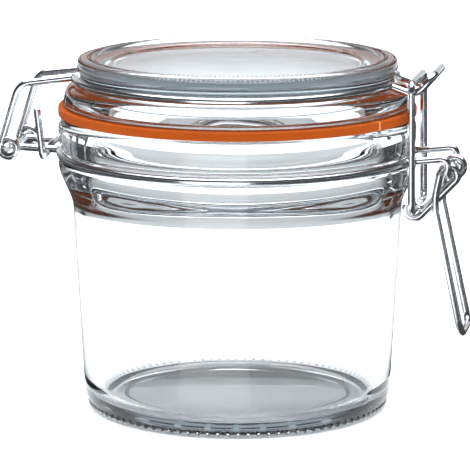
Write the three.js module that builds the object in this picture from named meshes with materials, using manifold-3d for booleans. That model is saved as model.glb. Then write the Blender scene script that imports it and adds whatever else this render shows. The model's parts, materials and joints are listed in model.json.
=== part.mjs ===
// Clip-top terrine jar: a clear glass jar and lid, a rubber seal and a bent steel wire closure.
// Millimetres, +Z up. The origin is on the jar's axis at its resting face, +X points to the latch.

import * as THREE from 'three';
import { mergeVertices } from 'three/addons/utils/BufferGeometryUtils.js';
import Module from 'manifold-3d';

// Driving dimensions of the glass
const SEAL_RADIUS = 48;
const SEAL_INNER_RADIUS = 38.8;
const SEAL_THICKNESS = 2.4;
const FINISH_HEIGHT = 79;
const MOUTH_RADIUS = 38.6;
const BODY_TOP_RADIUS = 44.2;
const BODY_TOP_HEIGHT = 54.5;
const HEEL_RADIUS = 41.6;
const HEEL_ROUNDING = 5.5;
const FOOT_RADIUS = 36.8;
const FOOT_INNER_RADIUS = 31;
const PUSH_UP = 1;
const BASE_THICKNESS = 3.3;
const WALL = 3.5;
const BEAD_RADIUS = 48;
const BEAD_LOW = 65.8;
const BEAD_HIGH = 66.6;
const NECK_GROOVE_RADIUS = 46.3;
const LID_FLANGE_RADIUS = 46.6;
const LID_FLANGE_RISE = 4.8;
const LID_RIM_RADIUS = 43;
const LID_GROOVE_RADIUS = 42;
const LID_TOP = 95;
const LID_CREST_RADIUS = 39.8;
const LID_RECESS_DEPTH = 2;
const LID_DISC_RADIUS = 33;
const PLUG_RADIUS = 37.8;
const PLUG_INNER_RADIUS = 33.5;
const PLUG_DEPTH = 3.4;
const LID_UNDERSIDE_RISE = 5.7;
const LID_RIM_RISE = 3.2;
const LID_STEP_RADIUS = 37.8;
const LID_STEP_DROP = 1.1;
const LID_LEDGE = 0.4;

// Roundings and leans of the pressed glass
const EDGE = 0.8;
const DRAFT = 0.4;
const FOOT_ROUNDING = 1.5;
const SHOULDER_PULL = 3.6;
const NECK_GROOVE_HALF = 1.2;
const FINISH_LOW = 75;
const FINISH_ROUNDING = 3.4;
const MOUTH_ROUNDING = 1;
const FLOOR_DISH = 0.4;
const PLUG_ROUNDING = 2;
const FLANGE_ROUNDING = 2.2;
const SEAL_EDGE = 0.5;

// Driving dimensions of the wire closure
const WIRE_RADIUS = 1;
const EYE_RADIUS = 2.35;
const BEND_RADIUS = 3.2;
const TIGHT_BEND_RADIUS = 2.4;
const HANDLE_BEND_RADIUS = 5;
const NECK_WIRE_HEIGHT = 69;
const NECK_ARM_RISE = 1.4;
const NECK_LATCH_SPREAD = 9.4;
const NECK_HINGE_SPREAD = 7.4;
const LID_WIRE_HEIGHT = 89;
const LID_ARM_SPREAD = 9;
const CATCH_NOTCH = { x: 49.4, z: 86.6 };
const CATCH_TIP = { x: 54, z: 92.1 };
const CATCH_TIP_SPREAD = 9.6;
const HINGE = { x: -60.8, z: 69.5 };
const HINGE_EYE_SPREAD = 10.2;
const HINGE_PIN_LENGTH = 24;
const HINGE_SHOULDER = { x: -57.6, z: 87 };
const WIRE_END_PLACE = { x: -51.5, z: 69.2 };
const WIRE_END_LEAN = 1.6;
const WIRE_END_RISE = 11;
const PIVOT = { x: 58, z: 65.5 };
const TOGGLE = { x: 48.9, z: 56 };
const LEVER_EYE_SPREAD = 7;
const HOOK_SWEEP = THREE.MathUtils.degToRad(160);
const HANDLE_ROOT_ANGLE = THREE.MathUtils.degToRad(204);
const HANDLE_TOP = { x: 54.2, z: 58 };
const HANDLE_TIP = { x: 62, z: 22.8 };
const HANDLE_TIP_SPREAD = 7.9;
const LINK_TOP = { x: 48.5, z: 90 };
const LINK_SPREAD = 12.2;
const LINK_PIN_LENGTH = 6.6;
const GAP = 0.35;

// How finely round shapes are cut
const TURN_SEGMENTS = 40;
const PROFILE_POINTS = 3;
const BEND_POINTS = 4;
const EYE_SEGMENTS = 14;
const HOOK_POINTS = 7;
const WIRE_SIDES = 8;
const WIRE_STEP = 3.2;
const FINE_STEP = 1.6;
const LONG_STEP = 8;
const JOIN_OVERLAP = 0.5;
const MERGE_DISTANCE = 1e-4;
const LARGEST_BEND_SHARE = 0.475;
const RING_POINT_ANGLE = THREE.MathUtils.degToRad(12);

const SEAL_LOW = FINISH_HEIGHT + GAP;
const LID_LOW = SEAL_LOW + SEAL_THICKNESS + GAP;
const NECK_RING_RADIUS = NECK_GROOVE_RADIUS + GAP + WIRE_RADIUS;
const LID_RING_RADIUS = LID_GROOVE_RADIUS + GAP + WIRE_RADIUS;

const wasm = await Module();
wasm.setup();

const point = (x, y, z) => new THREE.Vector3(x, y, z);

// A profile of radius and height turned round the vertical axis.
function turned(profile) {
  return new THREE.LatheGeometry(profile.getPoints(PROFILE_POINTS), TURN_SEGMENTS).rotateX(Math.PI / 2);
}

function asSolid(geometry) {
  const bare = geometry.clone();
  bare.deleteAttribute('normal');
  bare.deleteAttribute('uv');
  const merged = mergeVertices(bare, MERGE_DISTANCE);
  const vertProperties = new Float32Array(merged.getAttribute('position').array);
  const triVerts = new Uint32Array(merged.getIndex().array);
  return new wasm.Manifold(new wasm.Mesh({ numProp: 3, vertProperties, triVerts }));
}

// One body from several overlapping closed shapes.
function joined(geometries) {
  const whole = geometries.map(asSolid).reduce((sum, next) => sum.add(next));
  const mesh = whole.getMesh();
  const geometry = new THREE.BufferGeometry();
  geometry.setAttribute('position', new THREE.BufferAttribute(mesh.vertProperties, mesh.numProp));
  geometry.setIndex(new THREE.BufferAttribute(mesh.triVerts, 1));
  geometry.computeVertexNormals();
  return geometry;
}

// The points of a bent wire's centre line, each corner replaced by a short curve.
function bent(corners, radius = BEND_RADIUS) {
  const points = [corners[0]];
  for (let i = 1; i < corners.length - 1; i += 1) {
    const corner = corners[i];
    const back = corner.distanceTo(corners[i - 1]);
    const ahead = corner.distanceTo(corners[i + 1]);
    const reach = Math.min(radius, back * LARGEST_BEND_SHARE, ahead * LARGEST_BEND_SHARE);
    const entry = corner.clone().lerp(corners[i - 1], reach / back);
    const exit = corner.clone().lerp(corners[i + 1], reach / ahead);
    points.push(...new THREE.QuadraticBezierCurve3(entry, corner, exit).getPoints(BEND_POINTS));
  }
  points.push(corners[corners.length - 1]);
  return points;
}

// A round wire along a list of points.
function wire(points, step = WIRE_STEP) {
  const path = new THREE.CatmullRomCurve3(points, false, 'centripetal');
  const section = new THREE.Shape().absarc(0, 0, WIRE_RADIUS, 0, 2 * Math.PI);
  const steps = Math.max(2, Math.round(path.getLength() / step));
  const curveSegments = WIRE_SIDES / 2;
  const options = { extrudePath: path, steps, curveSegments, bevelEnabled: false };
  return new THREE.ExtrudeGeometry(section, options);
}

// The same wire on the near side (-Y) and, mirrored, on the far side (+Y).
function bothSides(points, step) {
  const mirrored = points.map((p) => point(p.x, -p.y, p.z));
  return [wire(points, step), wire(mirrored, step)];
}

// A wire eye that turns round an axis along Y.
function eye(place, y) {
  return new THREE.TorusGeometry(EYE_RADIUS, WIRE_RADIUS, WIRE_SIDES, EYE_SEGMENTS)
    .rotateX(Math.PI / 2)
    .translate(place.x, y, place.z);
}

// Where a wire leaves an eye, at an angle from +X towards +Z.
function pointOnEye(place, y, angle) {
  return point(place.x + EYE_RADIUS * Math.cos(angle), y, place.z + EYE_RADIUS * Math.sin(angle));
}

// The near half of a wire ring, from where the latch arm leaves it to where the hinge arm does.
function nearHalfRing(radius, height, latchSpread, hingeSpread) {
  const start = Math.asin(latchSpread / radius);
  const sweep = Math.PI - start - Math.asin(hingeSpread / radius);
  const count = Math.round(sweep / RING_POINT_ANGLE);
  const points = [];
  for (let i = 0; i <= count; i += 1) {
    const angle = start + (sweep * i) / count;
    points.push(point(radius * Math.cos(angle), -radius * Math.sin(angle), height));
  }
  return points;
}

function jarGlass() {
  const innerBottom = HEEL_RADIUS - WALL;
  const innerTop = BODY_TOP_RADIUS - WALL;
  const grooveLow = NECK_WIRE_HEIGHT - NECK_GROOVE_HALF;
  const grooveHigh = NECK_WIRE_HEIGHT + NECK_GROOVE_HALF;
  const floor = BASE_THICKNESS;
  const profile = new THREE.Path();
  profile.moveTo(0, PUSH_UP);
  profile.lineTo(FOOT_INNER_RADIUS - FOOT_ROUNDING, PUSH_UP);
  profile.quadraticCurveTo(FOOT_INNER_RADIUS - DRAFT, PUSH_UP, FOOT_INNER_RADIUS, 0);
  profile.lineTo(FOOT_RADIUS, 0);
  profile.quadraticCurveTo(HEEL_RADIUS - DRAFT, 0, HEEL_RADIUS, HEEL_ROUNDING);
  profile.lineTo(BODY_TOP_RADIUS, BODY_TOP_HEIGHT);
  profile.bezierCurveTo(
    BODY_TOP_RADIUS, BODY_TOP_HEIGHT + SHOULDER_PULL,
    BEAD_RADIUS - DRAFT, BEAD_LOW - SHOULDER_PULL,
    BEAD_RADIUS, BEAD_LOW,
  );
  profile.lineTo(BEAD_RADIUS, BEAD_HIGH);
  profile.quadraticCurveTo(BEAD_RADIUS, grooveLow, NECK_GROOVE_RADIUS, grooveLow);
  profile.lineTo(NECK_GROOVE_RADIUS, grooveHigh);
  profile.quadraticCurveTo(BEAD_RADIUS, grooveHigh, BEAD_RADIUS, FINISH_LOW);
  profile.lineTo(BEAD_RADIUS, FINISH_HEIGHT - FINISH_ROUNDING);
  profile.quadraticCurveTo(BEAD_RADIUS, FINISH_HEIGHT, BEAD_RADIUS - FINISH_ROUNDING, FINISH_HEIGHT);
  profile.lineTo(MOUTH_RADIUS + MOUTH_ROUNDING, FINISH_HEIGHT);
  profile.quadraticCurveTo(MOUTH_RADIUS, FINISH_HEIGHT, MOUTH_RADIUS, FINISH_HEIGHT - MOUTH_ROUNDING);
  profile.lineTo(innerTop - DRAFT, BODY_TOP_HEIGHT + SHOULDER_PULL);
  profile.lineTo(innerTop, BODY_TOP_HEIGHT);
  profile.lineTo(innerBottom, floor + HEEL_ROUNDING);
  profile.quadraticCurveTo(innerBottom - DRAFT, floor, innerBottom - HEEL_ROUNDING, floor);
  profile.lineTo(0, floor - FLOOR_DISH);
  return turned(profile);
}

function lidGlass() {
  const plugLow = LID_LOW - PLUG_DEPTH;
  const plugMiddle = (PLUG_INNER_RADIUS + PLUG_RADIUS) / 2;
  const underside = LID_LOW + LID_UNDERSIDE_RISE;
  const flangeEdge = LID_FLANGE_RADIUS - DRAFT;
  const flangeTop = LID_LOW + LID_FLANGE_RISE;
  const flangeCrest = flangeTop + DRAFT;
  const rim = LID_WIRE_HEIGHT + LID_RIM_RISE;
  const disc = LID_TOP - LID_RECESS_DEPTH;
  const ledge = disc + LID_LEDGE;
  const profile = new THREE.Path();
  profile.moveTo(0, underside);
  profile.lineTo(PLUG_INNER_RADIUS - PLUG_ROUNDING, underside);
  profile.quadraticCurveTo(
    PLUG_INNER_RADIUS, underside,
    PLUG_INNER_RADIUS + DRAFT, underside - PLUG_ROUNDING,
  );
  profile.lineTo(PLUG_INNER_RADIUS + 2 * DRAFT, plugLow + EDGE);
  profile.quadraticCurveTo(plugMiddle, plugLow - EDGE, PLUG_RADIUS, plugLow + EDGE);
  profile.lineTo(PLUG_RADIUS, LID_LOW);
  profile.lineTo(LID_FLANGE_RADIUS - EDGE, LID_LOW);
  profile.quadraticCurveTo(LID_FLANGE_RADIUS, LID_LOW, LID_FLANGE_RADIUS, LID_LOW + EDGE);
  profile.lineTo(flangeEdge, flangeTop - FLANGE_ROUNDING);
  profile.quadraticCurveTo(flangeEdge, flangeTop, flangeEdge - FLANGE_ROUNDING, flangeCrest);
  profile.quadraticCurveTo(LID_GROOVE_RADIUS, flangeCrest, LID_GROOVE_RADIUS, LID_WIRE_HEIGHT);
  profile.quadraticCurveTo(LID_GROOVE_RADIUS, rim - LID_RIM_RISE / 2, LID_RIM_RADIUS, rim);
  profile.quadraticCurveTo(LID_RIM_RADIUS, LID_TOP, LID_CREST_RADIUS, LID_TOP);
  profile.quadraticCurveTo(LID_STEP_RADIUS + EDGE, LID_TOP, LID_STEP_RADIUS, LID_TOP - LID_STEP_DROP);
  profile.quadraticCurveTo(LID_STEP_RADIUS - EDGE, ledge, LID_DISC_RADIUS + 2 * LID_LEDGE, ledge);
  profile.lineTo(LID_DISC_RADIUS, disc);
  profile.lineTo(0, disc);
  return turned(profile);
}

function sealRing() {
  const high = SEAL_LOW + SEAL_THICKNESS;
  const profile = new THREE.Path();
  profile.moveTo(SEAL_INNER_RADIUS, SEAL_LOW);
  profile.lineTo(SEAL_RADIUS - SEAL_EDGE, SEAL_LOW);
  profile.lineTo(SEAL_RADIUS, SEAL_LOW + SEAL_EDGE);
  profile.lineTo(SEAL_RADIUS, high - SEAL_EDGE);
  profile.lineTo(SEAL_RADIUS - SEAL_EDGE, high);
  profile.lineTo(SEAL_INNER_RADIUS, high);
  profile.lineTo(SEAL_INNER_RADIUS, SEAL_LOW);
  return turned(profile);
}

// The wire's free end: it crosses from the far hinge arm, hooks under the near one and stands up.
function standingWireEnd() {
  const { x, z } = WIRE_END_PLACE;
  const underArm = z - 2 * WIRE_RADIUS;
  const armSide = -NECK_HINGE_SPREAD - 2 * WIRE_RADIUS;
  return wire(bent([
    point(x, NECK_HINGE_SPREAD, z),
    point(x, 0, z),
    point(x, -NECK_HINGE_SPREAD + WIRE_RADIUS, underArm),
    point(x, armSide, underArm),
    point(x - WIRE_END_LEAN, armSide + DRAFT, z + WIRE_END_RISE),
  ], TIGHT_BEND_RADIUS), FINE_STEP);
}

// The ring under the finish, its latch loop with the lever's pivot and its hinge loop with the pin.
function neckWire() {
  const half = bent([
    point(PIVOT.x, JOIN_OVERLAP, PIVOT.z),
    point(PIVOT.x, -NECK_LATCH_SPREAD, PIVOT.z),
    point(PIVOT.x, -NECK_LATCH_SPREAD, NECK_WIRE_HEIGHT + NECK_ARM_RISE),
    ...nearHalfRing(NECK_RING_RADIUS, NECK_WIRE_HEIGHT, NECK_LATCH_SPREAD, NECK_HINGE_SPREAD),
    point(HINGE.x, -NECK_HINGE_SPREAD, HINGE.z),
  ], TIGHT_BEND_RADIUS);
  const pinEnd = HINGE_PIN_LENGTH / 2;
  const pin = wire([point(HINGE.x, -pinEnd, HINGE.z), point(HINGE.x, pinEnd, HINGE.z)], LONG_STEP);
  return joined([...bothSides(half), pin, standingWireEnd()]);
}

// The ring round the lid, its flared catch that holds the stirrup's bar and its two hinge legs with eyes.
function lidWire() {
  const half = bent([
    point(CATCH_TIP.x, JOIN_OVERLAP, CATCH_TIP.z),
    point(CATCH_TIP.x, -CATCH_TIP_SPREAD, CATCH_TIP.z),
    point(CATCH_NOTCH.x, -LID_ARM_SPREAD, CATCH_NOTCH.z),
    ...nearHalfRing(LID_RING_RADIUS, LID_WIRE_HEIGHT, LID_ARM_SPREAD, LID_ARM_SPREAD),
    point(HINGE_SHOULDER.x, -HINGE_EYE_SPREAD, HINGE_SHOULDER.z),
    point(HINGE.x, -HINGE_EYE_SPREAD, HINGE.z + EYE_RADIUS),
  ]);
  const eyes = [-HINGE_EYE_SPREAD, HINGE_EYE_SPREAD].map((y) => eye(HINGE, y));
  return joined([...bothSides(half), ...eyes]);
}

// The lever: eyes on the pivot, short arms with open hooks for the stirrup's feet, and a looped handle.
function leverWire() {
  const y = -LEVER_EYE_SPREAD;
  const armSide = Math.atan2(PIVOT.z - TOGGLE.z, PIVOT.x - TOGGLE.x) - Math.PI / 2;
  const arm = [pointOnEye(PIVOT, y, armSide)];
  for (let i = 0; i <= HOOK_POINTS; i += 1) {
    arm.push(pointOnEye(TOGGLE, y, armSide - (HOOK_SWEEP * i) / HOOK_POINTS));
  }
  const handle = bent([
    pointOnEye(PIVOT, y, HANDLE_ROOT_ANGLE),
    point(HANDLE_TOP.x, y, HANDLE_TOP.z),
    point(HANDLE_TIP.x, -HANDLE_TIP_SPREAD, HANDLE_TIP.z),
    point(HANDLE_TIP.x, JOIN_OVERLAP, HANDLE_TIP.z),
  ], HANDLE_BEND_RADIUS);
  const eyes = [y, -y].map((side) => eye(PIVOT, side));
  return joined([...bothSides(handle), ...bothSides(arm, FINE_STEP), ...eyes]);
}

// The stirrup that hangs from the lid's catch, its feet held down by the lever's hooks.
function linkWire() {
  return joined(bothSides(bent([
    point(LINK_TOP.x, JOIN_OVERLAP, LINK_TOP.z),
    point(LINK_TOP.x, -LINK_SPREAD, LINK_TOP.z),
    point(TOGGLE.x, -LINK_SPREAD, TOGGLE.z),
    point(TOGGLE.x, -LINK_SPREAD + LINK_PIN_LENGTH, TOGGLE.z),
  ], TIGHT_BEND_RADIUS)));
}

function glass() {
  return new THREE.MeshStandardMaterial({
    color: 0xdfe9e8, roughness: 0.05, metalness: 0, transparent: true, opacity: 0.35,
  });
}

function steel() {
  return new THREE.MeshStandardMaterial({ color: 0xc9ccd0, roughness: 0.25, metalness: 1 });
}

function rubber() {
  return new THREE.MeshStandardMaterial({ color: 0xc4530f, roughness: 0.6, metalness: 0 });
}

function piece(name, geometry, material) {
  const mesh = new THREE.Mesh(geometry, material);
  mesh.name = name;
  return mesh;
}

const jar = new THREE.Group();
jar.add(piece('jar_glass', jarGlass(), glass()));
jar.add(piece('neck_wire', neckWire(), steel()));

const lid = new THREE.Group();
lid.add(piece('lid_glass', lidGlass(), glass()));
lid.add(piece('seal_ring', sealRing(), rubber()));
lid.add(piece('lid_wire', lidWire(), steel()));

const latch = new THREE.Group();
latch.add(piece('lever_wire', leverWire(), steel()));
latch.add(piece('link_wire', linkWire(), steel()));

const terrineJar = new THREE.Group();
terrineJar.add(jar, lid, latch);

export default terrineJar;
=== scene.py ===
import json
import math

import bpy
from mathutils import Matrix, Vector


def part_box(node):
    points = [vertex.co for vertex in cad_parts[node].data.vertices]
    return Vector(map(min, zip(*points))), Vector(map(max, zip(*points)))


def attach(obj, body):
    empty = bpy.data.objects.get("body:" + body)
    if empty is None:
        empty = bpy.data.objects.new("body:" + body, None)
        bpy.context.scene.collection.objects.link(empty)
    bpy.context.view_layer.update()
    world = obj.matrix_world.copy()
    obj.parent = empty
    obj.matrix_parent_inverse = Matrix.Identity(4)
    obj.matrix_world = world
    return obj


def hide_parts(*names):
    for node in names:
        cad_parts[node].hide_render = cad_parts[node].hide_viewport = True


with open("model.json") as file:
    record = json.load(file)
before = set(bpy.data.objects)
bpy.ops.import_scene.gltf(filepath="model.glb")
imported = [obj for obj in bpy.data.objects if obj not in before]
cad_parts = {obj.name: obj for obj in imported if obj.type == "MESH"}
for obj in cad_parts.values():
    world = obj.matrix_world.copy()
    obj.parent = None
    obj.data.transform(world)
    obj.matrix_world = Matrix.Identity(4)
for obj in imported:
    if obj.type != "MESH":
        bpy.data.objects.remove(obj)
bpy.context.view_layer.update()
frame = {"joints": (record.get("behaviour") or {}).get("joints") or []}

# Sizes in metres, with the main ones read from the frame
MM = 0.001
TURN = 2 * math.pi
JOINTS = {joint["name"]: Vector(joint["pos_m"]) for joint in frame["joints"]}
HINGE = JOINTS["lid_hinge"]
PIVOT = JOINTS["lever_swing"]
JAR_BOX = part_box("jar_glass")
LID_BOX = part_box("lid_glass")
SEAL_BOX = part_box("seal_ring")

BEAD_RADIUS = JAR_BOX[1].x
FINISH_HEIGHT = JAR_BOX[1].z
SEAL_RADIUS = SEAL_BOX[1].x
SEAL_LOW = SEAL_BOX[0].z
SEAL_HIGH = SEAL_BOX[1].z
LID_TOP = LID_BOX[1].z
LID_FLANGE_RADIUS = LID_BOX[1].x
WIRE_RADIUS = 1 * MM
GAP = 0.35 * MM
LID_LOW = SEAL_HIGH + GAP

# Glass of the jar
MOUTH_RADIUS = 38.6 * MM
MOUTH_ROUNDING = 1 * MM
BODY_TOP_RADIUS = 44.2 * MM
BODY_TOP_HEIGHT = 54.5 * MM
HEEL_RADIUS = 41.6 * MM
HEEL_ROUNDING = 5.5 * MM
FOOT_RADIUS = 36.8 * MM
FOOT_INNER_RADIUS = 31 * MM
FOOT_ROUNDING = 1.5 * MM
PUSH_UP = 1 * MM
BASE_THICKNESS = 3.3 * MM
FLOOR_DISH = 0.4 * MM
WALL = 3.5 * MM
BEAD_LOW = 65.8 * MM
BEAD_HIGH = 66.6 * MM
SHOULDER_PULL = 3.6 * MM
NECK_GROOVE_RADIUS = 46.3 * MM
NECK_GROOVE_HALF = 1.2 * MM
FINISH_LOW = 75 * MM
FINISH_ROUNDING = 3.4 * MM
DRAFT = 0.4 * MM

# Glass of the lid
LID_FLANGE_RISE = 4.8 * MM
FLANGE_ROUNDING = 2.2 * MM
LID_RIM_RADIUS = 43 * MM
LID_RIM_RISE = 3.2 * MM
LID_GROOVE_RADIUS = 42 * MM
LID_CREST_RADIUS = 39.8 * MM
LID_STEP_RADIUS = 37.8 * MM
LID_STEP_DROP = 1.1 * MM
LID_RECESS_DEPTH = 2 * MM
LID_LEDGE = 0.4 * MM
LID_DISC_RADIUS = 33 * MM
LID_UNDERSIDE_RISE = 5.7 * MM
PLUG_RADIUS = 37.8 * MM
PLUG_INNER_RADIUS = 33.5 * MM
PLUG_DEPTH = 3.4 * MM
PLUG_ROUNDING = 2 * MM
EDGE = 0.8 * MM

# Rubber seal
SEAL_INNER_RADIUS = 38.8 * MM
SEAL_HELD_RADIUS = 44.8 * MM
SEAL_EDGE = 0.45 * MM
SEAL_PRESS = GAP + 0.05 * MM

# Rows of raised dots; a half size is outwards, along the row and upwards
DOT_SUBDIVISIONS = 2
LID_DOT_COUNT = 210
CREST_DOT_HALF_SIZE = (0.55 * MM, 0.42 * MM, 0.5 * MM)
CREST_DOT_RISE = 0.35 * MM
CREST_DOT_INSET = 0.2 * MM
CREST_DOT_DROP = 0.5 * MM
RIM_DOT_HALF_SIZE = (0.5 * MM, 0.42 * MM, 0.5 * MM)
RIM_DOT_INSET = 0.9 * MM
RIM_DOT_DROP = 1.05 * MM
FOOT_DOT_COUNT = 96
FOOT_DOT_HALF_SIZE = (1.2 * MM, 0.6 * MM, 1.0 * MM)
FOOT_DOT_OUTSET = 2.7 * MM
FOOT_DOT_HEIGHT = 1.2 * MM

# Wire closure
EYE_RADIUS = 2.35 * MM
EYE_SWEEP = 0.94 * TURN
BEND_RADIUS = 3.2 * MM
TIGHT_BEND_RADIUS = 2.4 * MM
HANDLE_BEND_RADIUS = 5 * MM
CUT_CHAMFER = 0.22 * WIRE_RADIUS
NECK_WIRE_HEIGHT = 69 * MM
NECK_ARM_RISE = 1.4 * MM
NECK_RING_RADIUS = NECK_GROOVE_RADIUS + GAP + WIRE_RADIUS
NECK_LATCH_SPREAD = 9.4 * MM
NECK_HINGE_SPREAD = 7.4 * MM
LID_WIRE_HEIGHT = 89 * MM
LID_RING_RADIUS = LID_GROOVE_RADIUS + GAP + WIRE_RADIUS
LID_ARM_SPREAD = 9 * MM
CATCH_NOTCH = Vector((49.4, 0, 86.6)) * MM
CATCH_TIP = Vector((54, 0, 92.1)) * MM
CATCH_TIP_SPREAD = 9.6 * MM
HINGE_EYE_SPREAD = 10.2 * MM
HINGE_PIN_LENGTH = 24 * MM
HINGE_SHOULDER = Vector((-57.6, 0, 87)) * MM
WIRE_END_PLACE = Vector((-51.5, 0, 69.2)) * MM
WIRE_END_LEAN = 1.6 * MM
WIRE_END_RISE = 11 * MM
LEVER_EYE_SPREAD = 7 * MM
LEVER_STRAND_SHIFT = 0.6 * MM
TOGGLE = Vector((48.9, 0, 56)) * MM
HOOK_SWEEP = math.radians(160)
HANDLE_TOP = Vector((54.2, 0, 58)) * MM
HANDLE_TIP = Vector((62, 0, 22.8)) * MM
HANDLE_TIP_SPREAD = 7.9 * MM
LINK_TOP = Vector((48.5, 0, 90)) * MM
LINK_SPREAD = 12.2 * MM
LINK_PIN_LENGTH = 6.6 * MM

# How finely round shapes are cut
TURN_SEGMENTS = 192
CURVE_STEPS = 10
EASE = 0.3 * MM
EASE_SHARE = 1 / 3
EASE_TURN = math.radians(24)
EASE_STEPS = 4
SHARP_TURN = math.radians(40)
RING_POINT_ANGLE = math.radians(3)
BEND_STEPS = 8
BEND_SHARE = 0.475
WIRE_SIDES = 16
WIRE_STEP_LEAST = WIRE_RADIUS / 50
EYE_STEPS = 32

# Glass finish
GLASS_TINT = (0.995, 0.998, 1.0, 1.0)
GLASS_BODY = (0.58, 0.64, 0.67, 1.0)
GLASS_DENSITY = 36.0
GLASS_IOR = 1.5
WAVE_SCALE = 55.0
WAVE_STRENGTH = 0.035
WAVE_DEPTH = 2 * MM
SMUDGE_SCALE = 38.0
SMUDGE_CONTRAST = 3.0
SMUDGE_ROUGHNESS = 0.03
STIPPLE_ROUGHNESS = 0.32
STIPPLE_HEIGHT = LID_TOP - 3 * MM

# Steel finish; the map counts lengths of wire along it and turns round it
STEEL = (0.70, 0.71, 0.73, 1.0)
DULL_STEEL = (0.574, 0.5822, 0.5986, 1.0)
STEEL_ROUGHNESS = 0.09
WIRE_MAP = "run"
WIRE_MAP_LENGTH = 40 * WIRE_RADIUS
DRAWING_SCALE = (90.0, 26.0, 1.0)
DRAWING_STRENGTH = 0.12
DRAWING_DEPTH = 0.2 * MM
DRAWING_ROUGHNESS = 0.05
PATCH_SCALE = 260.0
PATCH_CONTRAST = 2.0
PATCH_ROUGHNESS = 0.10

# Rubber finish
DEEP_ORANGE = (0.30, 0.046, 0.0007, 1.0)
PALE_ORANGE = (0.37, 0.064, 0.001, 1.0)
# A narrow line down one side of the ring: its paler colour, relief, cover, angle and half width
PALE_LINE_ORANGE = (0.85, 0.42, 0.16, 1.0)
RUBBER_ROUGHNESS = 0.46
RUBBER_SPECULAR = 0.1
RUBBER_RELIEF_STRENGTH = 0.25
RUBBER_RELIEF_DEPTH = 0.3 * MM
MOTTLING_SCALE = 90.0
MOTTLING_ROUGHNESS = 0.16
GRAIN_SCALE = 2200.0
GRAIN_RELIEF = 0.4
PALE_LINE_RELIEF = 0.6
PALE_LINE_COVER = 0.55
PALE_LINE_ANGLE = math.radians(-29.0)
PALE_LINE_HALF_WIDTH = 0.3 * MM

# The photograph's view
VIEW_AZIMUTH = math.radians(11.0)
VIEW_DISTANCE = 0.825
VIEW_HEIGHT = 0.210
VIEW_TILT = math.radians(78.75)
VIEW_TURN = math.radians(11.046)
VIEW_AHEAD = Vector((-math.sin(VIEW_AZIMUTH), math.cos(VIEW_AZIMUTH), 0))
VIEW_LEFT = Vector((-math.cos(VIEW_AZIMUTH), -math.sin(VIEW_AZIMUTH), 0))
LENS = 238.6
SENSOR_WIDTH = 36.0
NEAREST_SEEN = 0.01

# Floor, and dark cards that paint dark reflections; a card's corners are distances ahead of the jar's axis
# and to its left
FLOOR_TONE = 0.93
FLOOR_HALF = 4.0
FLOOR_DROP = 0.3 * MM
SHEET_ROUGHNESS = 0.9
CLOUD_SCALE = 3.0
CLOUD_TONE = 0.02
# Tone of the cards that paint dark reflections
CARD_TONE = 0.03
CARDS = {
    "wire_card_left": [
        (0.03, 0.046), (1.2, 0.100), (1.2, 1.6), (-1.357, 1.6),
        (-1.357, 0.848), (-0.053, 0.033), (-0.02, 0.059),
    ],
    "wire_card_right": [
        (0.03, -0.047), (0.0, -0.064), (-0.062, -0.007), (-1.59, -0.167),
        (-1.59, -1.6), (1.2, -1.6), (1.2, -0.15),
    ],
}

# Studio light, in shares of white; an edge fades between two cosines at the sides, two sines at the head
AMBIENT_LIGHT = 0.08
SURROUND_LIGHT = 0.40
BACKDROP_LIGHT = 0.60
BACKDROP_SIDES = (0.15, 0.60)
BACKDROP_HEAD = (0.42, 0.55)
BACKDROP_FADE = 0.75
WINDOW_LIGHT = 0.7
WINDOW_SIDES = (0.80, 0.93)
WINDOW_HEAD = (0.36, 0.50)
OVERHEAD_LIGHT = 6.0
OVERHEAD_EDGE = (0.74, 0.88)
STUDIO_TINT = (0.94, 0.975, 1.0, 1.0)
WHITE = (1.0, 1.0, 1.0, 1.0)


# Shader values and finishes

class Shade:
    """A value in a finish's shader; arithmetic on it adds Math nodes."""

    def __init__(self, finish, socket):
        self.finish = finish
        self.socket = socket

    def maths(self, operation, first, second):
        return self.finish.node("ShaderNodeMath", {"operation": operation}, {0: first, 1: second})

    def __add__(self, other):
        return self.maths("ADD", self, other)

    __radd__ = __add__

    def __rsub__(self, other):
        return self.maths("SUBTRACT", other, self)

    def __mul__(self, other):
        return self.maths("MULTIPLY", self, other)

    __rmul__ = __mul__

    def __pow__(self, other):
        return self.maths("POWER", self, other)

    def __lt__(self, other):
        return self.maths("LESS_THAN", self, other)

    def __gt__(self, other):
        return self.maths("GREATER_THAN", self, other)

    def __abs__(self):
        return self.maths("ABSOLUTE", self, 0.0)


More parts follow.
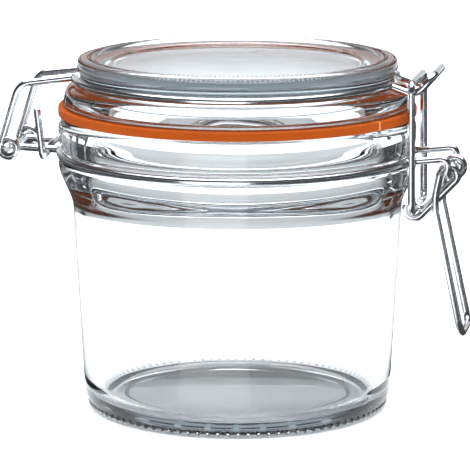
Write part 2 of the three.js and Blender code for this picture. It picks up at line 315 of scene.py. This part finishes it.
class Finish:
    """A material or a world that is built node by node."""

    def __init__(self, owner):
        owner.use_nodes = True
        self.owner = owner
        self.tree = owner.node_tree
        self.tree.nodes.clear()

    def node(self, kind, settings=None, inputs=None, output=0):
        made = self.tree.nodes.new(kind)
        for name, value in (settings or {}).items():
            setattr(made, name, value)
        for name, value in (inputs or {}).items():
            if isinstance(value, Shade):
                self.tree.links.new(value.socket, made.inputs[name])
            else:
                made.inputs[name].default_value = value
        return Shade(self, made.outputs[output]) if len(made.outputs) else None

    def mixed(self, share, first, second):
        return self.node(
            "ShaderNodeMix", {"data_type": "RGBA"}, {"Factor": share, 6: first, 7: second}, output=2)

    def noise(self, place, scale, detail=2.0, roughness=0.5):
        inputs = {"Vector": place, "Scale": scale, "Detail": detail, "Roughness": roughness}
        return self.node("ShaderNodeTexNoise", {}, inputs)

    def bump(self, strength, depth, height):
        return self.node("ShaderNodeBump", {}, {"Strength": strength, "Distance": depth, "Height": height})

    def vector(self, operation, inputs, output="Vector"):
        return self.node("ShaderNodeVectorMath", {"operation": operation}, inputs, output)

    def flattened(self, place):
        return self.vector("MULTIPLY", {0: place, 1: (1.0, 1.0, 0.0)})

    def part_along(self, place, direction):
        return self.vector("DOT_PRODUCT", {0: place, 1: direction}, "Value")

    def height(self, place):
        return self.node("ShaderNodeSeparateXYZ", {}, {"Vector": place}, "Z")

    def rise(self, value, edge):
        """From 0 before the edge to 1 past it."""
        inputs = {"Value": value, "From Min": edge[0], "From Max": edge[1]}
        return self.node("ShaderNodeMapRange", {"interpolation_type": "SMOOTHSTEP"}, inputs)


def pressed_glass(name, stippled_radius=0.0, stippled_height=0.0):
    """Clear pressed glass: a faint waviness, a few handling smudges and a cool cast where it is thick.

    Within a radius, what lies below a height is stippled by the mould and scatters light."""
    finish = Finish(bpy.data.materials.new(name))
    place = finish.node("ShaderNodeTexCoord", output="Object")
    waves = finish.noise(place, WAVE_SCALE, detail=1.0)
    smudges = finish.noise(place, SMUDGE_SCALE, detail=4.0, roughness=0.6)
    radius = finish.vector("LENGTH", {0: finish.flattened(place)}, "Value")
    rough_part = (radius < stippled_radius) * (finish.height(place) < stippled_height)
    surface = finish.node("ShaderNodeBsdfPrincipled", {}, {
        "Base Color": GLASS_TINT,
        "Roughness": SMUDGE_ROUGHNESS * smudges ** SMUDGE_CONTRAST + STIPPLE_ROUGHNESS * rough_part,
        "IOR": GLASS_IOR,
        "Transmission Weight": 1.0,
        "Normal": finish.bump(WAVE_STRENGTH, WAVE_DEPTH, waves),
    })
    body = finish.node("ShaderNodeVolumeAbsorption", {}, {"Color": GLASS_BODY, "Density": GLASS_DENSITY})
    finish.node("ShaderNodeOutputMaterial", {}, {"Surface": surface, "Volume": body})
    return finish.owner


def drawn_steel(name):
    """Bright steel wire with fine drawing lines along its length and duller patches from handling."""
    finish = Finish(bpy.data.materials.new(name))
    along = finish.node("ShaderNodeUVMap", {"uv_map": WIRE_MAP})
    lines = finish.node("ShaderNodeMapping", {}, {"Vector": along, "Scale": DRAWING_SCALE})
    drawing = finish.noise(lines, 1.0, detail=3.0, roughness=0.6)
    place = finish.node("ShaderNodeTexCoord", output="Object")
    patches = finish.noise(place, PATCH_SCALE, detail=3.0)
    wear = PATCH_ROUGHNESS * patches ** PATCH_CONTRAST + DRAWING_ROUGHNESS * drawing
    surface = finish.node("ShaderNodeBsdfPrincipled", {}, {
        "Base Color": finish.mixed(patches, DULL_STEEL, STEEL),
        "Metallic": 1.0,
        "Roughness": STEEL_ROUGHNESS + wear,
        "Normal": finish.bump(DRAWING_STRENGTH, DRAWING_DEPTH, drawing),
    })
    finish.node("ShaderNodeOutputMaterial", {}, {"Surface": surface})
    return finish.owner


def orange_rubber(name):
    """Moulded orange rubber: a fine grain, faint mottling, and one narrow paler, raised line down its side.
    """
    finish = Finish(bpy.data.materials.new(name))
    place = finish.node("ShaderNodeTexCoord", output="Object")
    mottling = finish.noise(place, MOTTLING_SCALE, detail=4.0, roughness=0.6)
    grain = finish.noise(place, GRAIN_SCALE)
    across = (-math.sin(PALE_LINE_ANGLE), math.cos(PALE_LINE_ANGLE), 0.0)
    outward = (math.cos(PALE_LINE_ANGLE), math.sin(PALE_LINE_ANGLE), 0.0)
    # A narrow band at one angle round the ring, on one side, is made paler and raised.
    beside = abs(finish.part_along(place, across)) < PALE_LINE_HALF_WIDTH
    pale_line = beside * (finish.part_along(place, outward) > 0.0)
    body = finish.mixed(mottling, DEEP_ORANGE, PALE_ORANGE)
    relief = grain * GRAIN_RELIEF + pale_line * PALE_LINE_RELIEF
    surface = finish.node("ShaderNodeBsdfPrincipled", {}, {
        "Base Color": finish.mixed(pale_line * PALE_LINE_COVER, body, PALE_LINE_ORANGE),
        "Roughness": RUBBER_ROUGHNESS + MOTTLING_ROUGHNESS * mottling,
        "Specular IOR Level": RUBBER_SPECULAR,
        "Normal": finish.bump(RUBBER_RELIEF_STRENGTH, RUBBER_RELIEF_DEPTH, relief),
    })
    finish.node("ShaderNodeOutputMaterial", {}, {"Surface": surface})
    return finish.owner


def grey(tone):
    return (tone, tone, tone, 1.0)


def matt_sheet(name, tone):
    """A matt grey sheet, faintly cloudy."""
    finish = Finish(bpy.data.materials.new(name))
    place = finish.node("ShaderNodeTexCoord", output="Object")
    cloud = finish.noise(place, CLOUD_SCALE)
    surface = finish.node("ShaderNodeBsdfPrincipled", {}, {
        "Base Color": finish.mixed(cloud, grey(tone), grey(tone + CLOUD_TONE)),
        "Roughness": SHEET_ROUGHNESS,
        "Specular IOR Level": 0.0,
    })
    finish.node("ShaderNodeOutputMaterial", {}, {"Surface": surface})
    return finish.owner


# Meshes

class Outline:
    """A profile of radius and height, drawn from point to point."""

    def __init__(self, radius, height):
        self.points = [Vector((radius, height))]

    def line(self, radius, height):
        self.points.append(Vector((radius, height)))

    def curve(self, *controls):
        """A Bezier curve from the last point, pulled by the controls, to the last of them."""
        knots = [self.points[-1]] + [Vector(control) for control in controls]
        self.points += [bezier(knots, step / CURVE_STEPS) for step in range(1, CURVE_STEPS + 1)]

    def eased(self):
        """The points, each sharp corner replaced by a small curve."""
        points = [self.points[0]]
        for before, corner, after in zip(self.points, self.points[1:], self.points[2:]):
            back, ahead = before - corner, after - corner
            if math.pi - back.angle(ahead) < EASE_TURN:
                points.append(corner)
            else:
                reach = min(EASE, back.length * EASE_SHARE, ahead.length * EASE_SHARE)
                points += rounded(corner, back, ahead, reach, EASE_STEPS)
        return points + [self.points[-1]]


def bezier(knots, share):
    while len(knots) > 1:
        knots = [first.lerp(second, share) for first, second in zip(knots, knots[1:])]
    return knots[0]


def rounded(corner, back, ahead, reach, steps):
    """A curve in place of a corner, from the reach before it to the reach past it."""
    knots = [corner + back.normalized() * reach, corner, corner + ahead.normalized() * reach]
    return [bezier(knots, step / steps) for step in range(steps + 1)]


def smooth(mesh):
    mesh.shade_smooth()
    mesh.set_sharp_from_angle(angle=SHARP_TURN)


def new_piece(name, vertices, faces, material):
    mesh = bpy.data.meshes.new(name)
    mesh.from_pydata(vertices, [], faces)
    mesh.validate()
    mesh.materials.append(material)
    smooth(mesh)
    piece = bpy.data.objects.new(name, mesh)
    bpy.context.scene.collection.objects.link(piece)
    return piece


def turned(name, outline, material):
    """The profile turned round the vertical axis, from pole to pole or closed on itself."""
    points = outline.eased()
    closed = points[0].x > 0
    if closed:
        points = points[:-1]
    count = len(points)
    vertices = []
    rings = []
    for point in points:
        rings.append(len(vertices))
        steps = TURN_SEGMENTS if point.x > 0 else 1
        for step in range(steps):
            angle = TURN * step / TURN_SEGMENTS
            vertices.append((point.x * math.cos(angle), point.x * math.sin(angle), point.y))
    faces = []
    for index in range(count if closed else count - 1):
        low, high = rings[index], rings[(index + 1) % count]
        low_pole, high_pole = points[index].x == 0, points[(index + 1) % count].x == 0
        for step in range(TURN_SEGMENTS):
            after = (step + 1) % TURN_SEGMENTS
            if low_pole:
                faces.append((low, high + after, high + step))
            elif high_pole:
                faces.append((low + step, low + after, high))
            else:
                faces.append((low + step, low + after, high + after, high + step))
    return new_piece(name, vertices, faces, material)


def bent(corners, radius=BEND_RADIUS):
    """The points of a bent wire's centre line, each corner replaced by a short curve."""
    points = [corners[0]]
    for before, corner, after in zip(corners, corners[1:], corners[2:]):
        back, ahead = before - corner, after - corner
        reach = min(radius, back.length * BEND_SHARE, ahead.length * BEND_SHARE)
        points += rounded(corner, back, ahead, reach, BEND_STEPS)
    return points + [corners[-1]]


def mirrored(points):
    return [Vector((point.x, -point.y, point.z)) for point in points]


def both_sides(half):
    """One centre line from the far end, over the middle, to the near end."""
    return list(reversed(mirrored(half)))[:-1] + half


def around_eye(centre, start, end, first_y, last_y):
    """Points on an eye's circle in XZ, from one angle to another, while y moves across."""
    points = []
    for step in range(EYE_STEPS + 1):
        share = step / EYE_STEPS
        angle = start + (end - start) * share
        offset = Vector((math.cos(angle), 0, math.sin(angle))) * EYE_RADIUS
        points.append(Vector((centre.x, first_y + (last_y - first_y) * share, centre.z)) + offset)
    return points


def near_half_ring(radius, height, latch_spread, hinge_spread):
    start = math.asin(latch_spread / radius)
    sweep = math.pi - start - math.asin(hinge_spread / radius)
    count = round(sweep / RING_POINT_ANGLE)
    angles = [start + sweep * step / count for step in range(count + 1)]
    return [Vector((radius * math.cos(angle), -radius * math.sin(angle), height)) for angle in angles]


def wires(name, runs, material):
    """Round wires along centre lines, with chamfered cut ends and a map of length and turn."""
    vertices, faces, places = [], [], []
    for run in runs:
        add_wire(run, vertices, faces, places)
    piece = new_piece(name, vertices, faces, material)
    layer = piece.data.uv_layers.new(name=WIRE_MAP)
    for loop in piece.data.loops:
        layer.data[loop.index].uv = places[loop.vertex_index]
    return piece


def add_wire(run, vertices, faces, places):
    points = [run[0]]
    for point in run[1:]:
        if (point - points[-1]).length > WIRE_STEP_LEAST:
            points.append(point)
    ends = [points[0] + (points[1] - points[0]).normalized() * CUT_CHAMFER,
            points[-1] + (points[-2] - points[-1]).normalized() * CUT_CHAMFER]
    points = [points[0], ends[0]] + points[1:-1] + [ends[1], points[-1]]
    side = None
    travelled = 0.0
    first = len(vertices)
    for index, point in enumerate(points):
        before = points[max(index - 1, 0)]
        after = points[min(index + 1, len(points) - 1)]
        run_direction = (after - before).normalized()
        if side is None:
            side = run_direction.orthogonal().normalized()
        side = (side - run_direction * side.dot(run_direction)).normalized()
        up = run_direction.cross(side)
        travelled += (point - before).length
        radius = WIRE_RADIUS - (CUT_CHAMFER if index in (0, len(points) - 1) else 0.0)
        for step in range(WIRE_SIDES):
            angle = TURN * step / WIRE_SIDES
            vertices.append(point + (side * math.cos(angle) + up * math.sin(angle)) * radius)
            places.append((travelled / WIRE_MAP_LENGTH, step / WIRE_SIDES))
    for index in range(len(points) - 1):
        low = first + index * WIRE_SIDES
        for step in range(WIRE_SIDES):
            after = (step + 1) % WIRE_SIDES
            faces.append((low + step, low + after, low + after + WIRE_SIDES, low + step + WIRE_SIDES))
    last = first + (len(points) - 1) * WIRE_SIDES
    faces.append(tuple(first + step for step in reversed(range(WIRE_SIDES))))
    faces.append(tuple(last + step for step in range(WIRE_SIDES)))


# Raised dots on the glass

def ring_of_dots():
    """A node tree that joins a ring of small rounded dots to the mesh it is given."""
    tree = bpy.data.node_groups.new("ring_of_dots", "GeometryNodeTree")
    face = tree.interface
    face.new_socket("Geometry", in_out="OUTPUT", socket_type="NodeSocketGeometry")
    face.new_socket("Geometry", in_out="INPUT", socket_type="NodeSocketGeometry")
    for name in ("Ring Radius", "Ring Height", "Half Depth", "Half Width", "Half Height"):
        face.new_socket(name, in_out="INPUT", socket_type="NodeSocketFloat")
    face.new_socket("Count", in_out="INPUT", socket_type="NodeSocketInt")
    face.new_socket("Material", in_out="INPUT", socket_type="NodeSocketMaterial")

    def node(kind, **settings):
        made = tree.nodes.new(kind)
        for name, value in settings.items():
            setattr(made, name, value)
        return made

    def link(source, output, target, name):
        tree.links.new(source.outputs[output], target.inputs[name])

    given = node("NodeGroupInput")
    result = node("NodeGroupOutput")
    ring = node("GeometryNodeMeshCircle")
    link(given, "Count", ring, "Vertices")
    link(given, "Ring Radius", ring, "Radius")
    rise = node("ShaderNodeCombineXYZ")
    link(given, "Ring Height", rise, "Z")
    raised = node("GeometryNodeSetPosition")
    link(ring, "Mesh", raised, "Geometry")
    link(rise, "Vector", raised, "Offset")
    dot = node("GeometryNodeMeshIcoSphere")
    dot.inputs["Radius"].default_value = 1.0
    dot.inputs["Subdivisions"].default_value = DOT_SUBDIVISIONS
    size = node("ShaderNodeCombineXYZ")
    link(given, "Half Depth", size, "X")
    link(given, "Half Width", size, "Y")
    link(given, "Half Height", size, "Z")
    place = node("GeometryNodeInputPosition")
    parts = node("ShaderNodeSeparateXYZ")
    link(place, "Position", parts, "Vector")
    heading = node("ShaderNodeMath", operation="ARCTAN2")
    link(parts, "Y", heading, 0)
    link(parts, "X", heading, 1)
    turn = node("ShaderNodeCombineXYZ")
    link(heading, 0, turn, "Z")
    dots = node("GeometryNodeInstanceOnPoints")
    link(raised, "Geometry", dots, "Points")
    link(dot, "Mesh", dots, "Instance")
    link(turn, "Vector", dots, "Rotation")
    link(size, "Vector", dots, "Scale")
    real = node("GeometryNodeRealizeInstances")
    link(dots, "Instances", real, "Geometry")
    whole = node("GeometryNodeMeshBoolean", operation="UNION", solver="MANIFOLD")
    link(given, "Geometry", whole, "Mesh 2")
    link(real, "Geometry", whole, "Mesh 2")
    finished = node("GeometryNodeSetMaterial")
    link(whole, "Mesh", finished, "Geometry")
    link(given, "Material", finished, "Material")
    link(finished, "Geometry", result, "Geometry")
    return tree


def row_of_dots(radius, height, count, half_size):
    """What the node tree is told of one row of dots."""
    row = {"Ring Radius": radius, "Ring Height": height, "Count": count}
    return row | dict(zip(("Half Depth", "Half Width", "Half Height"), half_size))


def with_dots(piece, tree, rows):
    """Joins rows of dots to a piece, and leaves it a plain mesh."""
    names = {item.name: item.identifier for item in tree.interface.items_tree if item.in_out == "INPUT"}
    for row in rows:
        modifier = piece.modifiers.new("dots", "NODES")
        modifier.node_group = tree
        for name, value in row.items():
            modifier[names[name]] = value
        modifier[names["Material"]] = piece.data.materials[0]
    evaluated = piece.evaluated_get(bpy.context.evaluated_depsgraph_get())
    mesh = bpy.data.meshes.new_from_object(evaluated)
    mesh.name = piece.name
    piece.modifiers.clear()
    piece.data = mesh
    smooth(mesh)
    return piece


# Pieces

def jar_glass(material):
    inner_bottom = HEEL_RADIUS - WALL
    inner_top = BODY_TOP_RADIUS - WALL
    groove_low = NECK_WIRE_HEIGHT - NECK_GROOVE_HALF
    groove_high = NECK_WIRE_HEIGHT + NECK_GROOVE_HALF
    outline = Outline(0, PUSH_UP)
    outline.line(FOOT_INNER_RADIUS - FOOT_ROUNDING, PUSH_UP)
    outline.curve((FOOT_INNER_RADIUS - DRAFT, PUSH_UP), (FOOT_INNER_RADIUS, 0))
    outline.line(FOOT_RADIUS, 0)
    outline.curve((HEEL_RADIUS - DRAFT, 0), (HEEL_RADIUS, HEEL_ROUNDING))
    outline.line(BODY_TOP_RADIUS, BODY_TOP_HEIGHT)
    outline.curve(
        (BODY_TOP_RADIUS, BODY_TOP_HEIGHT + SHOULDER_PULL),
        (BEAD_RADIUS - DRAFT, BEAD_LOW - SHOULDER_PULL),
        (BEAD_RADIUS, BEAD_LOW))
    outline.line(BEAD_RADIUS, BEAD_HIGH)
    outline.curve((BEAD_RADIUS, groove_low), (NECK_GROOVE_RADIUS, groove_low))
    outline.line(NECK_GROOVE_RADIUS, groove_high)
    outline.curve((BEAD_RADIUS, groove_high), (BEAD_RADIUS, FINISH_LOW))
    outline.line(BEAD_RADIUS, FINISH_HEIGHT - FINISH_ROUNDING)
    outline.curve((BEAD_RADIUS, FINISH_HEIGHT), (BEAD_RADIUS - FINISH_ROUNDING, FINISH_HEIGHT))
    outline.line(MOUTH_RADIUS + MOUTH_ROUNDING, FINISH_HEIGHT)
    outline.curve((MOUTH_RADIUS, FINISH_HEIGHT), (MOUTH_RADIUS, FINISH_HEIGHT - MOUTH_ROUNDING))
    outline.line(inner_top - DRAFT, BODY_TOP_HEIGHT + SHOULDER_PULL)
    outline.curve(
        (inner_top, BODY_TOP_HEIGHT),
        (inner_top - DRAFT / 2, BODY_TOP_HEIGHT - 2 * SHOULDER_PULL))
    outline.line(inner_bottom, BASE_THICKNESS + HEEL_ROUNDING)
    outline.curve((inner_bottom - DRAFT, BASE_THICKNESS), (inner_bottom - HEEL_ROUNDING, BASE_THICKNESS))
    outline.line(0, BASE_THICKNESS - FLOOR_DISH)
    return turned("jar_body", outline, material)


def lid_glass(material):
    plug_low = LID_LOW - PLUG_DEPTH
    plug_middle = (PLUG_INNER_RADIUS + PLUG_RADIUS) / 2
    underside = LID_LOW + LID_UNDERSIDE_RISE
    flange_edge = LID_FLANGE_RADIUS - DRAFT
    flange_top = LID_LOW + LID_FLANGE_RISE
    flange_crest = flange_top + DRAFT
    rim = LID_WIRE_HEIGHT + LID_RIM_RISE
    crest = LID_TOP - CREST_DOT_RISE
    disc = LID_TOP - LID_RECESS_DEPTH
    ledge = disc + LID_LEDGE
    outline = Outline(0, underside)
    outline.line(PLUG_INNER_RADIUS - PLUG_ROUNDING, underside)
    outline.curve((PLUG_INNER_RADIUS, underside), (PLUG_INNER_RADIUS + DRAFT, underside - PLUG_ROUNDING))
    outline.line(PLUG_INNER_RADIUS + 2 * DRAFT, plug_low + EDGE)
    outline.curve((plug_middle, plug_low - EDGE), (PLUG_RADIUS, plug_low + EDGE))
    outline.line(PLUG_RADIUS, LID_LOW)
    outline.line(LID_FLANGE_RADIUS - EDGE, LID_LOW)
    outline.curve((LID_FLANGE_RADIUS, LID_LOW), (LID_FLANGE_RADIUS, LID_LOW + EDGE))
    outline.line(flange_edge, flange_top - FLANGE_ROUNDING)
    outline.curve((flange_edge, flange_top), (flange_edge - FLANGE_ROUNDING, flange_crest))
    outline.curve((LID_GROOVE_RADIUS, flange_crest), (LID_GROOVE_RADIUS, LID_WIRE_HEIGHT))
    outline.curve((LID_GROOVE_RADIUS, rim - LID_RIM_RISE / 2), (LID_RIM_RADIUS, rim))
    outline.curve((LID_RIM_RADIUS, crest), (LID_CREST_RADIUS, crest))
    outline.curve((LID_STEP_RADIUS + EDGE, crest), (LID_STEP_RADIUS, LID_TOP - LID_STEP_DROP))
    outline.curve((LID_STEP_RADIUS - EDGE, ledge), (LID_DISC_RADIUS + 2 * LID_LEDGE, ledge))
    outline.line(LID_DISC_RADIUS, disc)
    outline.line(0, disc)
    return turned("lid_cap", outline, material)


def seal(material):
    """The flat ring, thicker where it meets the two rims of glass than at its free edge."""
    low, high = SEAL_LOW - SEAL_PRESS, SEAL_HIGH + SEAL_PRESS
    outline = Outline(SEAL_INNER_RADIUS, low)
    outline.line(SEAL_HELD_RADIUS, low)
    outline.line(SEAL_HELD_RADIUS + 2 * SEAL_PRESS, SEAL_LOW)
    outline.line(SEAL_RADIUS - SEAL_EDGE, SEAL_LOW)
    outline.curve((SEAL_RADIUS, SEAL_LOW), (SEAL_RADIUS, SEAL_LOW + SEAL_EDGE))
    outline.line(SEAL_RADIUS, SEAL_HIGH - SEAL_EDGE)
    outline.curve((SEAL_RADIUS, SEAL_HIGH), (SEAL_RADIUS - SEAL_EDGE, SEAL_HIGH))
    outline.line(SEAL_HELD_RADIUS + 2 * SEAL_PRESS, SEAL_HIGH)
    outline.line(SEAL_HELD_RADIUS, high)
    outline.line(SEAL_INNER_RADIUS, high)
    outline.line(SEAL_INNER_RADIUS, low)
    return turned("rubber_seal", outline, material)


def neck_wire(material):
    """The ring in the neck's groove with the lever's pivot bar, the hinge pin and one standing wire end."""
    half = bent([
        Vector((PIVOT.x, 0, PIVOT.z)),
        Vector((PIVOT.x, -NECK_LATCH_SPREAD, PIVOT.z)),
        Vector((PIVOT.x, -NECK_LATCH_SPREAD, NECK_WIRE_HEIGHT + NECK_ARM_RISE)),
        *near_half_ring(NECK_RING_RADIUS, NECK_WIRE_HEIGHT, NECK_LATCH_SPREAD, NECK_HINGE_SPREAD),
        Vector((HINGE.x, -NECK_HINGE_SPREAD, HINGE.z)),
    ], TIGHT_BEND_RADIUS)
    pin_end = Vector((0, HINGE_PIN_LENGTH / 2, 0))
    hinge_pin = [HINGE - pin_end, HINGE + pin_end]
    under_arm = -2 * WIRE_RADIUS
    arm_side = -NECK_HINGE_SPREAD - 2 * WIRE_RADIUS
    standing_end = bent([WIRE_END_PLACE + Vector(step) for step in (
        (0, NECK_HINGE_SPREAD, 0),
        (0, 0, 0),
        (0, -NECK_HINGE_SPREAD + WIRE_RADIUS, under_arm),
        (0, arm_side, under_arm),
        (-WIRE_END_LEAN, arm_side + DRAFT, WIRE_END_RISE),
    )], TIGHT_BEND_RADIUS)
    return wires("neck_ring", [both_sides(half), hinge_pin, standing_end], material)


def lid_wire(material):
    """The ring in the lid's groove, from the flared catch at the latch to the eyes on the hinge pin."""
    arm = bent([
        CATCH_TIP,
        CATCH_TIP - Vector((0, CATCH_TIP_SPREAD, 0)),
        CATCH_NOTCH - Vector((0, LID_ARM_SPREAD, 0)),
        *near_half_ring(LID_RING_RADIUS, LID_WIRE_HEIGHT, LID_ARM_SPREAD, LID_ARM_SPREAD),
        HINGE_SHOULDER - Vector((0, HINGE_EYE_SPREAD, 0)),
        Vector((HINGE.x - EYE_RADIUS, -HINGE_EYE_SPREAD, HINGE.z)),
    ])
    eye = around_eye(HINGE, math.pi, math.pi + EYE_SWEEP, -HINGE_EYE_SPREAD, -HINGE_EYE_SPREAD)
    return wires("lid_ring", [both_sides(arm + eye)], material)


def lever(material):
    """The looped handle, with an eye over the pivot bar and an open hook on each side."""
    outer = -LEVER_EYE_SPREAD - LEVER_STRAND_SHIFT
    inner = -LEVER_EYE_SPREAD + LEVER_STRAND_SHIFT
    leaving = math.atan2(TOGGLE.z - PIVOT.z, TOGGLE.x - PIVOT.x) + TURN / 4
    handle = bent([
        Vector((HANDLE_TIP.x, 0, HANDLE_TIP.z)),
        Vector((HANDLE_TIP.x, -HANDLE_TIP_SPREAD, HANDLE_TIP.z)),
        Vector((HANDLE_TOP.x, outer, HANDLE_TOP.z)),
        Vector((PIVOT.x - EYE_RADIUS, outer, PIVOT.z)),
    ], HANDLE_BEND_RADIUS)
    over_pivot = around_eye(PIVOT, math.pi, leaving, outer, inner)
    round_toggle = around_eye(TOGGLE, leaving, leaving - HOOK_SWEEP, inner, inner)
    return wires("lever_handle", [both_sides(handle + over_pivot + round_toggle)], material)


def stirrup(material):
    """The link from the lid's catch down to the lever's hooks, where its feet turn in."""
    half = bent([
        LINK_TOP,
        LINK_TOP - Vector((0, LINK_SPREAD, 0)),
        Vector((TOGGLE.x, -LINK_SPREAD, TOGGLE.z)),
        Vector((TOGGLE.x, -LINK_SPREAD + LINK_PIN_LENGTH, TOGGLE.z)),
    ], TIGHT_BEND_RADIUS)
    return wires("link_stirrup", [both_sides(half)], material)


# Camera, floor and light

def camera():
    data = bpy.data.cameras.new("camera")
    data.sensor_width = SENSOR_WIDTH
    data.lens = LENS
    data.clip_start = NEAREST_SEEN
    made = bpy.data.objects.new("camera", data)
    made.location = (
        VIEW_DISTANCE * math.sin(VIEW_AZIMUTH), -VIEW_DISTANCE * math.cos(VIEW_AZIMUTH), VIEW_HEIGHT)
    made.rotation_euler = (VIEW_TILT, 0.0, VIEW_TURN)
    bpy.context.scene.collection.objects.link(made)
    bpy.context.scene.camera = made


def floor(material):
    sides = [(-1, -1), (1, -1), (1, 1), (-1, 1)]
    corners = [(x * FLOOR_HALF, y * FLOOR_HALF, -FLOOR_DROP) for x, y in sides]
    new_piece("floor", corners, [(0, 1, 2, 3)], material)


def dark_cards(material):
    """Dark cards lying on the floor, which show only where wires and glass reflect them: painted dark
    reflections that stand in for darkness around the set.
    """
    for name, places in CARDS.items():
        corners = [VIEW_AHEAD * ahead + VIEW_LEFT * left for ahead, left in places]
        card = new_piece(name, corners, [tuple(range(len(corners)))], material)
        # Only reflections see a card, so it paints dark reflections and no shadow.
        card.visible_camera = False
        card.visible_diffuse = False
        card.visible_shadow = False
        card.visible_transmission = False


def studio():
    """A bright backdrop in a dimmer surround, with strong light overhead.

    Reflections show the backdrop as a narrow window in the dark, and the camera sees plain white."""
    finish = Finish(bpy.data.worlds.new("studio"))
    bpy.context.scene.world = finish.owner
    direction = finish.node("ShaderNodeTexCoord", output="Generated")
    height = finish.height(direction)
    level = finish.vector("NORMALIZE", {0: finish.flattened(direction)})
    facing = finish.part_along(level, VIEW_AHEAD)
    below_head = 1.0 - BACKDROP_FADE * finish.rise(height, BACKDROP_HEAD)
    backdrop = finish.rise(facing, BACKDROP_SIDES) * below_head
    window = finish.rise(facing, WINDOW_SIDES) * (1.0 - finish.rise(height, WINDOW_HEAD))
    overhead = finish.rise(height, OVERHEAD_EDGE)
    mirrored_ray = finish.node("ShaderNodeLightPath", output="Is Glossy Ray")
    around = SURROUND_LIGHT + BACKDROP_LIGHT * backdrop
    level_light = mirrored_ray * WINDOW_LIGHT * window + (1.0 - mirrored_ray) * around
    light = AMBIENT_LIGHT + level_light + OVERHEAD_LIGHT * overhead
    seen = finish.node("ShaderNodeLightPath", output="Is Camera Ray")
    shown = finish.node("ShaderNodeBackground", {}, {
        "Color": finish.mixed(seen, STUDIO_TINT, WHITE),
        "Strength": seen + (1.0 - seen) * light,
    })
    finish.node("ShaderNodeOutputWorld", {}, {"Surface": shown})
    bpy.context.scene.view_settings.view_transform = "Standard"


# The scene

clear = pressed_glass("clear_glass")
stippled = pressed_glass("stippled_glass", PLUG_INNER_RADIUS, STIPPLE_HEIGHT)
steel = drawn_steel("bright_wire")
rubber = orange_rubber("orange_rubber")

dots = ring_of_dots()
crest_dots = row_of_dots(
    LID_CREST_RADIUS - CREST_DOT_INSET, LID_TOP - CREST_DOT_DROP, LID_DOT_COUNT, CREST_DOT_HALF_SIZE)
rim_dots = row_of_dots(
    LID_RIM_RADIUS - RIM_DOT_INSET, LID_TOP - RIM_DOT_DROP, LID_DOT_COUNT, RIM_DOT_HALF_SIZE)
foot_dots = row_of_dots(
    FOOT_RADIUS + FOOT_DOT_OUTSET, FOOT_DOT_HEIGHT, FOOT_DOT_COUNT, FOOT_DOT_HALF_SIZE)
pieces = [
    (with_dots(jar_glass(clear), dots, [foot_dots]), "jar", "jar_glass", "glass"),
    (neck_wire(steel), "jar", "neck_wire", "wire"),
    (with_dots(lid_glass(stippled), dots, [crest_dots, rim_dots]), "lid", "lid_glass", "glass"),
    (seal(rubber), "lid", "seal_ring", "seal"),
    (lid_wire(steel), "lid", "lid_wire", "wire"),
    (lever(steel), "lever", "lever_wire", "wire"),
    (stirrup(steel), "link", "link_wire", "wire"),
]
for piece, body, node, slot in pieces:
    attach(piece, body)
    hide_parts(node)

camera()
floor(matt_sheet("pale_floor", FLOOR_TONE))
dark_cards(matt_sheet("dark_card", CARD_TONE))
studio()
